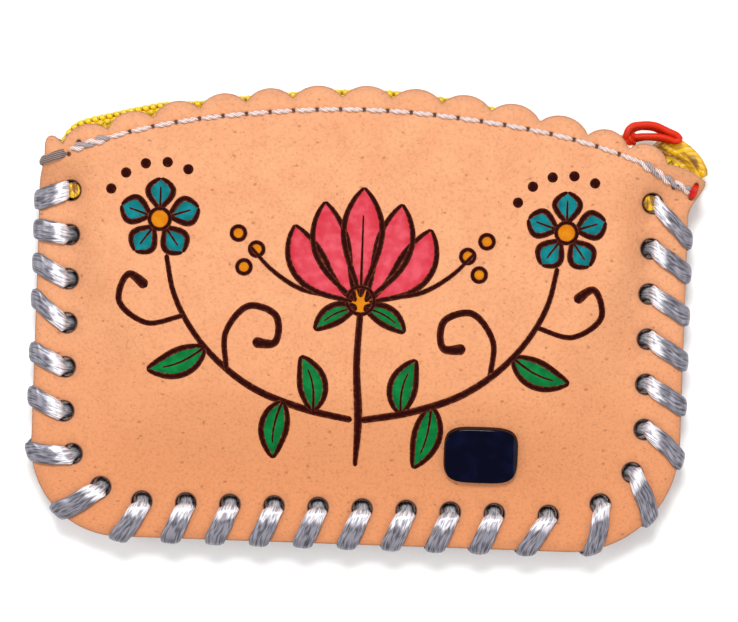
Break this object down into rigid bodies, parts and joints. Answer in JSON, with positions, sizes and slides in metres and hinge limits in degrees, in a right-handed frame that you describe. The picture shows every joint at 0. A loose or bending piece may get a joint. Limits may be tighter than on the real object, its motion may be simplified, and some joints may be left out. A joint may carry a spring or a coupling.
{
  "type": "leather coin purse",
  "caption": "Flat leather coin purse with a scalloped zip top, whip-stitched sides and bottom, a cord pull and a glossy cushion-shaped stone.",
  "frame": {"origin": "on the flat middle of the back panel's outer face, which the purse lies on; level with the middle of the purse's width", "axes": "+X to the right along the width, +Y up the front towards the zipper, +Z out of the front panel"},
  "size_m": [0.1232, 0.0852, 0.0132],
  "materials": {
    "leather": "natural vegetable-tanned, matt",
    "satin_lace": "grey satin cord with a strong sheen",
    "zipper_yellow": "dyed golden yellow",
    "slider_yellow": "yellow enamel",
    "pull_red": "glossy orange-red cord",
    "cabochon_navy": "polished, almost black blue"
  },
  "bodies": {
    "purse": {"front_panel": "leather", "back_panel": "leather", "edge_lace": "satin_lace", "zipper_coil_front": "zipper_yellow", "zipper_coil_back": "zipper_yellow", "zipper_tape_front": "zipper_yellow", "zipper_tape_back": "zipper_yellow", "cabochon": "cabochon_navy"},
    "slider": {"zipper_slider": "slider_yellow"},
    "pull": {"pull_cord": "pull_red"}
  },
  "joints": [
    {"name": "slider_travel", "type": "hinge", "parent": "purse", "child": "slider", "pos_m": [-0.0056, -0.1131, 0.0062], "axis": [0, 0, 1], "range_deg": [0, 33.5], "deforming": ["zipper_coil_front", "zipper_coil_back"]},
    {"name": "pull_swing", "type": "hinge", "parent": "slider", "child": "pull", "pos_m": [0.04756, 0.03376, 0.0062], "axis": [0, 0, 1], "range_deg": [0, 100]}
  ]
}
